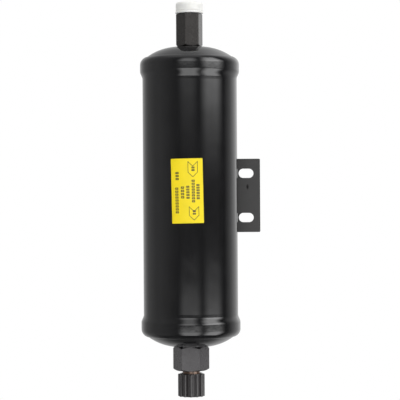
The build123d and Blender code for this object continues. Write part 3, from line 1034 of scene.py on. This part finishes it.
class DRIER_OT_label(bpy.types.Operator):
    """Wraps the label's film round the shell and lays its print on it"""

    bl_idname = "drier.add_label"
    bl_label = "Label"

    def execute(self, context):
        sizes = context.scene.drier_bracket
        finish = context.scene.drier_finish
        shell_radius = RIM_RADIUS - context.scene.drier_sizes.shell_wall
        film = self.film(sizes, shell_radius)
        vinyl = the_material("label_vinyl", vinyl_film, finish.film)
        finish_piece(film, "label_film", vinyl, "drier", "label_film", "label", angle=40)
        ink = the_material("label_ink", printing_ink, finish.ink)
        finish_piece(self.marks(sizes, shell_radius, film), "label_print", ink, "drier", "label_film")
        return {"FINISHED"}

    def film(self, sizes, shell_radius):
        """A rectangle with round corners, cut out of a thin tube round the shell and tilted a little."""
        out = Vector((sin(sizes.label_turn), -cos(sizes.label_turn), 0))
        tilt = Matrix.Rotation(sizes.label_tilt, 3, out)
        across = tilt @ Vector((cos(sizes.label_turn), sin(sizes.label_turn), 0))
        up = tilt @ Vector((0, 0, 1))
        middle = Vector((CENTRE_X, CENTRE_Y, sizes.label_z))
        corner = sizes.label_corner
        half_width = shell_radius * sin(sizes.label_width / 2 / shell_radius) - corner
        half_height = sizes.label_height / 2 - corner
        pick()
        bpy.ops.mesh.primitive_cylinder_add(
            vertices=FILM_FACETS, radius=shell_radius + sizes.glue + sizes.film, depth=2 * sizes.label_height,
            end_fill_type="NOTHING", location=middle,
        )
        piece = settle()
        cuts = [(middle, -out)]
        for step in range(FILM_CUTS):
            angle = 2 * pi / FILM_CUTS * step
            x, z = cos(angle), sin(angle)
            side = across * x + up * z
            cuts.append((middle + side * (half_width * abs(x) + half_height * abs(z) + corner), side))
        with EditMode():
            for place, normal in cuts:
                select()
                bpy.ops.mesh.bisect(plane_co=place, plane_no=normal, clear_outer=True)
        modify(piece, "SOLIDIFY", thickness=sizes.film, offset=-1.0, use_even_offset=True)
        return piece

    def marks(self, sizes, shell_radius, film):
        """Two flow arrows and columns of plain blocks, drawn as outlines and dropped onto the film."""
        marks = [self.drawn(sizes, shell_radius, self.arrow(*arrow), sizes.stroke) for arrow in PRINT_ARROWS]
        x = BLOCK_WIDTH / 2
        for across, start, end, count in PRINT_COLUMNS:
            pitch = (end - start) / count
            height = abs(pitch) * BLOCK_SHARE
            stroke = min(sizes.block_stroke, 0.45 * height / 1000)
            for i in range(count):
                low = start + pitch * (i + 0.5) - height / 2
                corners = [(across - x, low), (across + x, low), (across + x, low + height)]
                corners.append((across - x, low + height))
                marks.append(self.drawn(sizes, shell_radius, corners, stroke))
        print_mark = join(*marks)
        with EditMode():
            select()
            bpy.ops.mesh.subdivide(number_cuts=4)
        modify(
            print_mark, "SHRINKWRAP", target=film, wrap_method="PROJECT", use_project_y=True,
            use_positive_direction=True, use_negative_direction=False, cull_face="BACK", offset=sizes.ink,
        )
        modify(print_mark, "SOLIDIFY", thickness=sizes.ink * 0.9, offset=0.0)
        return print_mark

    def arrow(self, across, tail, tip):
        """The corners of a broad flow arrow with a notched tail, pointing down."""
        x, neck = ARROW_WIDTH / 2, tip + ARROW_POINT
        left, right = [(across - x, tail), (across - x, neck)], [(across + x, neck), (across + x, tail)]
        return [*left, (across, tip), *right, (across, tail - ARROW_POINT)]

    def drawn(self, sizes, shell_radius, points, stroke):
        """A flat shape in front of the label, from its corners on the label in millimetres, left as a line of
        this width along its edge."""
        c, s = cos(sizes.label_tilt) / 1000, sin(sizes.label_tilt) / 1000
        middle = CENTRE_X + shell_radius * sin(sizes.label_turn)
        front = CENTRE_Y - 1.2 * RIM_RADIUS
        pick()
        bpy.ops.mesh.primitive_circle_add(vertices=len(points), radius=0.001, fill_type="NGON")
        piece = bpy.context.object
        shape_face(piece, [(middle + x * c - z * s, front, sizes.label_z + x * s + z * c) for x, z in points])
        with EditMode():
            select()
            bpy.ops.mesh.inset(thickness=stroke, use_even_offset=True)
            bpy.ops.mesh.delete(type="FACE")
        return piece


class DRIER_OT_plug(bpy.types.Operator):
    """Moulds the white plug of the inlet port"""

    bl_idname = "drier.add_plug"
    bl_label = "Inlet plug"

    def execute(self, context):
        sizes = context.scene.drier_closures
        drier = context.scene.drier_sizes
        seat, lead, groove = PORT_FACE, sizes.plug_lead, sizes.plug_groove
        head, flange = sizes.plug_head / 2, sizes.plug_flange / 2
        shank = drier.tap_diameter / 2 - sizes.plug_fit
        top = seat + sizes.plug_height
        flange_top = seat + sizes.plug_flange_height
        tip = seat - sizes.plug_shank
        under = top - sizes.plug_crown
        dish = top - lead / 4
        outline = [
            (0, dish),
            (head - sizes.plug_edge - 2 * lead, dish),
            *arc((head - sizes.plug_edge, top - sizes.plug_edge), sizes.plug_edge, pi / 2, 0, 10),
            (head, flange_top + groove),
            (head - groove, flange_top + groove / 3),
            (head - groove, flange_top),
            *broken((head, flange_top), (flange, flange_top), (flange, seat), sizes.flange_edge),
            *broken((flange, flange_top), (flange, seat), (shank, seat), sizes.moulded_edge),
            (shank, seat),
            (shank, tip + lead),
            (shank - lead, tip),
            (shank - sizes.plug_wall, tip),
            (shank - sizes.plug_wall, under),
            (0, under),
        ]
        colour = context.scene.drier_finish.plug
        moulding = {"depth_mm": 1.2, "roughness": 0.42, "sink": 0.05}
        material = the_material("polyethylene_white", polyethylene, colour, **moulding)
        plug = turned(outline, drier.steps)
        finish_piece(plug, "plug_moulding", material, "plug", "white_polyethylene", "inlet_plug", angle=35)
        return {"FINISHED"}


class DRIER_OT_screw_cap(bpy.types.Operator):
    """Moulds the ribbed black screw cap of the outlet"""

    bl_idname = "drier.add_screw_cap"
    bl_label = "Screw cap"

    def execute(self, context):
        sizes = context.scene.drier_closures
        drier = context.scene.drier_sizes
        core, chamfer, edge = sizes.cap_core / 2, sizes.cap_chamfer, sizes.moulded_edge
        bore = drier.thread_diameter / 2 + sizes.cap_fit
        mouth, end = CAP_HIGH.z, CAP_LOW.z
        ceiling = end + sizes.cap_floor
        outline = [
            (0, end),
            *broken((0, end), (core - chamfer, end), (core, end + chamfer), edge),
            *broken((core - chamfer, end), (core, end + chamfer), (core, mouth), edge),
            *broken((core, end), (core, mouth), (bore, mouth), edge),
            (bore + chamfer, mouth),
            (bore, mouth - chamfer),
            (bore, ceiling),
            (0, ceiling),
        ]
        cap = turned(outline, drier.steps)
        cut(cap, self.ribs(sizes, mouth - sizes.rib_setback, end + sizes.rib_stop), operation="UNION")
        colour = context.scene.drier_finish.cap
        moulding = {"depth_mm": 0, "roughness": 0.13, "sink": 0.015}
        material = the_material("polyethylene_black", polyethylene, colour, **moulding)
        slot = "black_polyethylene"
        finish_piece(cap, "screw_cap_moulding", material, "screw_cap", slot, "outlet_cap", angle=35)
        return {"FINISHED"}

    def ribs(self, sizes, high, low):
        """The round ribs, one modelled and the rest copied round the axis."""
        place = (CENTRE_X + sizes.rib_circle, CENTRE_Y, (high + low) / 2)
        half = (high - low) / 2
        pick()
        size = {"radius": sizes.rib_radius, "depth": 2 * half}
        bpy.ops.mesh.primitive_cylinder_add(vertices=28, location=place, **size)
        rib = settle()
        with EditMode():
            select_where(rib, lambda p: abs(p.z - place[2]) > half * 0.99, "EDGE")
            bpy.ops.mesh.bevel(offset=sizes.rib_radius * 0.4, segments=4, affect="EDGES")
        around = Matrix.Translation((CENTRE_X, CENTRE_Y, 0))
        copies = []
        for i in range(sizes.rib_count):
            pick(rib)
            bpy.ops.object.duplicate()
            turn = 2 * pi * i / sizes.rib_count - sizes.rib_turn
            bpy.context.object.matrix_world = around @ Matrix.Rotation(turn, 4, "Z") @ around.inverted()
            copies.append(settle())
        bpy.data.objects.remove(rib)
        return join(*copies)


class DRIER_OT_filling(bpy.types.Operator):
    """Gives the pieces inside the shell their finishes"""

    bl_idname = "drier.dress_filling"
    bl_label = "Filling"

    def execute(self, context):
        steel = context.scene.drier_finish.steel
        strip = the_material("cold_rolled_steel", pressed_steel, steel)
        gauze = the_material("steel_gauze", woven_wire, steel, mesh_mm=0.8)
        felt = the_material("wool_felt", wool_felt, linear("#E4E1D6"))
        finishes = {
            "bed_spring": strip,
            "upper_perforated_plate": strip,
            "lower_perforated_plate": strip,
            "upper_screen": gauze,
            "lower_screen": gauze,
            "outlet_strainer": the_material("brass_gauze", woven_wire, linear("#C9A25A"), mesh_mm=0.5),
            "upper_filter_pad": felt,
            "lower_filter_pad": felt,
            "desiccant_bed": the_material("desiccant_beads", bead_bed, linear("#D9B98C"), bead_mm=2.4),
            "outlet_cap_seal": the_material("nitrile_rubber", nitrile, linear("#1F1F20")),
        }
        for name, material in finishes.items():
            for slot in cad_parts[name].material_slots:
                slot.material = material
        return {"FINISHED"}


# Stage

# Each softbox by name: the azimuths it spans, counted from the camera's side towards the bracket, the
# elevations it spans, how softly it ends both ways, all in degrees, and its brightness
SOFTBOXES = {
    "centre_high": ((-22, 13), (6, 30), (12, 5), 2.6),
    "right_high": ((34, 78), (4.9, 27), (13, 4.5), 6.2),
    "centre_top": ((-20, 13), (30, 52), (12, 5), 1.8),
    "right_top": ((37, 75), (27, 52), (12, 5), 4.6),
    "centre_low": ((-23, 22), (-50, -4.5), (10, 2.4), 3.2),
    "right_low": ((37, 77), (-45, -4.7), (12, 3.4), 4.4),
    "back_right_high": ((125, 165), (2, 60), (12, 5), 0.25),
}
# Brightness of the room round the drier, as (azimuth, brightness)
ROOM = (
    (-180, 0.6), (-150, 0.72), (-125, 0.46), (-110, 0.46), (-92, 0.4), (-77, 0.43), (-60, 0.32),
    (-45, 0.2), (-25, 0.05), (92, 0.03), (108, 0.48), (125, 0.9), (150, 1.1), (180, 0.6),
)
PIT = (-60, -30)  # elevations over which the room falls off towards the floor
CEILING = (45, 80)  # elevations over which it turns into the ceiling
KEY_PLACE = Vector((CENTRE_X - 0.4, CENTRE_Y - 0.5, 1.6))
FLOOR_DEPTH = 0.02
FLOOR_FADE = (0.5, 0.98)  # where the floor starts and ends fading, as shares of its radius


def window(tree, value, low, high, softness):
    """A factor that is 1 while a value in degrees lies in a range, with soft ends."""
    rise = between(tree, value, 0.0, 1.0, low - softness, low + softness, "SMOOTHSTEP")
    fall = between(tree, value, 1.0, 0.0, high - softness, high + softness, "SMOOTHSTEP")
    return calculate(tree, "MULTIPLY", rise, fall)


class DRIER_OT_stage(bpy.types.Operator):
    """Sets up the pale floor, the soft studio light and the camera"""

    bl_idname = "drier.add_stage"
    bl_label = "Stage"

    def execute(self, context):
        studio = context.scene.drier_studio
        self.add_floor(studio)
        self.add_key(context.scene, studio)
        self.add_world(context.scene, studio)
        self.add_camera(context.scene, studio)
        context.scene.view_settings.view_transform = "Standard"
        return {"FINISHED"}

    def add_floor(self, studio):
        """A round pale floor well under the drier, which fades into the white behind it, doesn't show in what
        is glossy and can be looked through from below."""
        pick()
        middle = (0, 0, studio.floor_z - FLOOR_DEPTH / 2)
        bpy.ops.mesh.primitive_cylinder_add(
            vertices=128, radius=studio.floor_radius, depth=FLOOR_DEPTH, location=middle
        )
        floor = settle()
        modify(floor, "BEVEL", width=0.4 * FLOOR_DEPTH, segments=4)
        smooth(floor, 30)
        floor.name = "floor"
        material, tree, shader, place = new_material("pale_floor")
        colour = shades(tree, noise(tree, place, 60), (0.3, scaled(studio.floor, 0.98)), (0.7, studio.floor))
        feed(tree, shader, {"Base Color": colour, "Roughness": 0.85})
        start, end = [fade * studio.floor_radius for fade in FLOOR_FADE]
        edge = between(tree, distance_of(tree, place), 0.0, 1.0, start, end, "SMOOTHSTEP")
        ray = add_node(tree, "ShaderNodeLightPath").outputs
        white = add_node(tree, "ShaderNodeEmission", {"Color": opaque(grey(1.0)), "Strength": 1.0})
        clear = add_node(tree, "ShaderNodeBsdfTransparent")
        fading = calculate(tree, "MULTIPLY", edge, ray["Is Camera Ray"])
        underside = calculate(tree, "LESS_THAN", height_of(tree, place), studio.floor_z - 0.001)
        backs = add_node(tree, "ShaderNodeNewGeometry").outputs["Backfacing"]
        below = calculate(tree, "MAXIMUM", underside, backs)
        surface = shader
        for factor, other in ((fading, white), (ray["Is Glossy Ray"], clear), (below, clear)):
            inputs = {"Fac": factor, 1: surface.outputs[0], 2: other.outputs[0]}
            surface = add_node(tree, "ShaderNodeMixShader", inputs)
        feed(tree, tree.nodes["Material Output"], {"Surface": surface.outputs[0]})
        floor.data.materials.append(material)

    def add_key(self, scene, studio):
        """A large soft lamp over the camera's left shoulder, which lights the label and the floor and doesn't
        show in the paint."""
        data = bpy.data.lights.new("key", "AREA")
        data.shape = "DISK"
        data.size = studio.key_size
        data.energy = studio.key_power
        key = bpy.data.objects.new("key", data)
        scene.collection.objects.link(key)
        key.location = KEY_PLACE
        aim = Vector((CENTRE_X, CENTRE_Y, 0)) - KEY_PLACE
        key.rotation_euler = aim.to_track_quat("-Z", "Y").to_euler()
        key.visible_glossy = False

    def add_world(self, scene, studio):
        """A studio by direction: a dim room, brighter behind the drier, with softboxes drawn in it, and white
        where the camera sees it."""
        world = bpy.data.worlds.new("studio")
        scene.world = world
        world.use_nodes = True
        tree = world.node_tree
        direction = add_node(tree, "ShaderNodeTexCoord").outputs["Generated"]
        x, y, z = add_node(tree, "ShaderNodeSeparateXYZ", {"Vector": direction}).outputs
        away = calculate(tree, "MULTIPLY", y, -1.0)
        azimuth = calculate(tree, "DEGREES", calculate(tree, "ARCTAN2", x, away))
        elevation = calculate(tree, "DEGREES", calculate(tree, "ARCSINE", z))
        turn = between(tree, azimuth, 0.0, 1.0, -180, 180)
        # a ramp's colours stop at 1, so the room's brightness is halved in it and doubled after it
        stops = [((angle + 180) / 360, grey(brightness / 2)) for angle, brightness in ROOM]
        room = calculate(tree, "MULTIPLY", shades(tree, turn, *stops), 2 * studio.room)
        below = between(tree, elevation, studio.pit, 1.0, *PIT, "SMOOTHSTEP")
        room = calculate(tree, "MULTIPLY", room, below)
        high = between(tree, elevation, 0.0, 1.0, *CEILING, "SMOOTHSTEP")
        total = mixed(tree, high, room, studio.ceiling)
        ray = add_node(tree, "ShaderNodeLightPath").outputs
        panel = between(tree, ray["Is Glossy Ray"], studio.spill, 1.0)
        for azimuths, elevations, softness, brightness in SOFTBOXES.values():
            across = window(tree, azimuth, *azimuths, softness[0])
            up = window(tree, elevation, *elevations, softness[1])
            glow = calculate(tree, "MULTIPLY", panel, brightness)
            patch = calculate(tree, "MULTIPLY", calculate(tree, "MULTIPLY", across, up), glow)
            total = calculate(tree, "ADD", total, patch)
        strength = mixed(tree, ray["Is Camera Ray"], total, 1.0)
        feed(tree, tree.nodes["Background"], {"Color": opaque(grey(1.0)), "Strength": strength})

    def add_camera(self, scene, studio):
        """A long lens square to the bracket, turned by the roll."""
        data = bpy.data.cameras.new("camera")
        data.lens = studio.focal_length
        camera = bpy.data.objects.new("camera", data)
        scene.collection.objects.link(camera)
        camera.location = (studio.camera_x, CENTRE_Y - studio.distance, studio.camera_z)
        camera.rotation_euler = (pi / 2, studio.roll, 0)
        scene.camera = camera


class DRIER_PT_panel(bpy.types.Panel):
    """Lists the drier's pieces in the sidebar"""

    bl_label = "Drier"
    bl_idname = "DRIER_PT_panel"
    bl_space_type = "VIEW_3D"
    bl_region_type = "UI"
    bl_category = "Drier"

    def draw(self, context):
        for operator in STEPS:
            self.layout.operator(operator.bl_idname)
        for group in (context.scene.drier_finish, context.scene.drier_studio):
            box = self.layout.box()
            for name in group.bl_rna.properties.keys():
                if name not in ("rna_type", "name"):
                    box.prop(group, name, text=name.replace("_", " ").capitalize())


GROUPS = {
    "drier_sizes": DrierSizes,
    "drier_bracket": BracketSizes,
    "drier_closures": ClosureSizes,
    "drier_finish": DrierFinish,
    "drier_studio": DrierStudio,
}
STEPS = (
    DRIER_OT_shell,
    DRIER_OT_end_caps,
    DRIER_OT_inlet_fitting,
    DRIER_OT_outlet_fitting,
    DRIER_OT_bracket,
    DRIER_OT_label,
    DRIER_OT_plug,
    DRIER_OT_screw_cap,
    DRIER_OT_filling,
    DRIER_OT_stage,
)


def register():
    """Registers the groups, the operators and the panel."""
    for name, group in GROUPS.items():
        bpy.utils.register_class(group)
        setattr(bpy.types.Scene, name, PointerProperty(type=group))
    for item in (*STEPS, DRIER_PT_panel):
        bpy.utils.register_class(item)


def unregister():
    """Takes them all out again."""
    for item in (DRIER_PT_panel, *reversed(STEPS)):
        bpy.utils.unregister_class(item)
    for name, group in GROUPS.items():
        delattr(bpy.types.Scene, name)
        bpy.utils.unregister_class(group)


def main():
    """Registers everything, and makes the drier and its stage."""
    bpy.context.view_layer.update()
    register()
    bpy.ops.drier.add_shell()
    bpy.ops.drier.add_end_caps()
    bpy.ops.drier.add_inlet_fitting()
    bpy.ops.drier.add_outlet_fitting()
    bpy.ops.drier.add_bracket()
    bpy.ops.drier.add_label()
    bpy.ops.drier.add_plug()
    bpy.ops.drier.add_screw_cap()
    bpy.ops.drier.dress_filling()
    bpy.ops.drier.add_stage()


if __name__ == "__main__":
    main()
